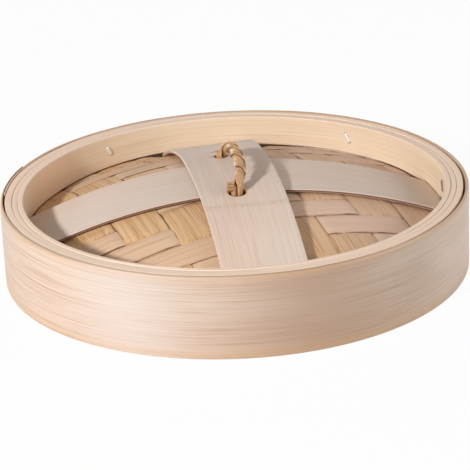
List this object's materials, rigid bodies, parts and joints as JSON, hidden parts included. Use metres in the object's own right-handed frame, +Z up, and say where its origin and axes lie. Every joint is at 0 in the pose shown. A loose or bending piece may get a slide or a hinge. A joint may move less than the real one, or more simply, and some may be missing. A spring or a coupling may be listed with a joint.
{
  "type": "bamboo steamer lid",
  "caption": "Round lid of a bamboo steamer: bent hoop rim, domed twill panel, crossed straps and a rocking loop of twisted cane to lift it by.",
  "frame": {"origin": "middle of the rim's foot, on the surface that the lid stands on", "axes": "+X along the cross strap, +Y along the top strap and the cane loop, +Z up"},
  "size_m": [0.254, 0.254, 0.0658],
  "materials": {
    "hoop_bamboo": "satin",
    "warp_bamboo": "satin",
    "weft_bamboo": "satin",
    "strap_bamboo": "satin",
    "cane": "satin",
    "staple_wire": "bright"
  },
  "bodies": {
    "lid": {"outer_hoop": "hoop_bamboo", "middle_hoop": "hoop_bamboo", "upper_clamp_hoop": "hoop_bamboo", "upper_facing_hoop": "hoop_bamboo", "lower_clamp_hoop": "hoop_bamboo", "lower_facing_hoop": "hoop_bamboo", "warp_strip_01": "warp_bamboo", "warp_strip_02": "warp_bamboo", "warp_strip_03": "warp_bamboo", "warp_strip_04": "warp_bamboo", "warp_strip_05": "warp_bamboo", "warp_strip_06": "warp_bamboo", "warp_strip_07": "warp_bamboo", "warp_strip_08": "warp_bamboo", "warp_strip_09": "warp_bamboo", "warp_strip_10": "warp_bamboo", "weft_strip_01": "weft_bamboo", "weft_strip_02": "weft_bamboo", "weft_strip_03": "weft_bamboo", "weft_strip_04": "weft_bamboo", "weft_strip_05": "weft_bamboo", "weft_strip_06": "weft_bamboo", "weft_strip_07": "weft_bamboo", "weft_strip_08": "weft_bamboo", "weft_strip_09": "weft_bamboo", "weft_strip_10": "weft_bamboo", "weft_strip_11": "weft_bamboo", "weft_strip_12": "weft_bamboo", "weft_strip_13": "weft_bamboo", "weft_strip_14": "weft_bamboo", "cross_strap": "strap_bamboo", "top_strap": "strap_bamboo", "rim_staples": "staple_wire"},
    "loop": {"handle_loop": "cane"}
  },
  "joints": [
    {"name": "loop_rock", "type": "hinge", "parent": "lid", "child": "loop", "pos_m": [-0.0025, 0, 0.05042], "axis": [0, 1, 0], "range_deg": [-14, 14]}
  ]
}
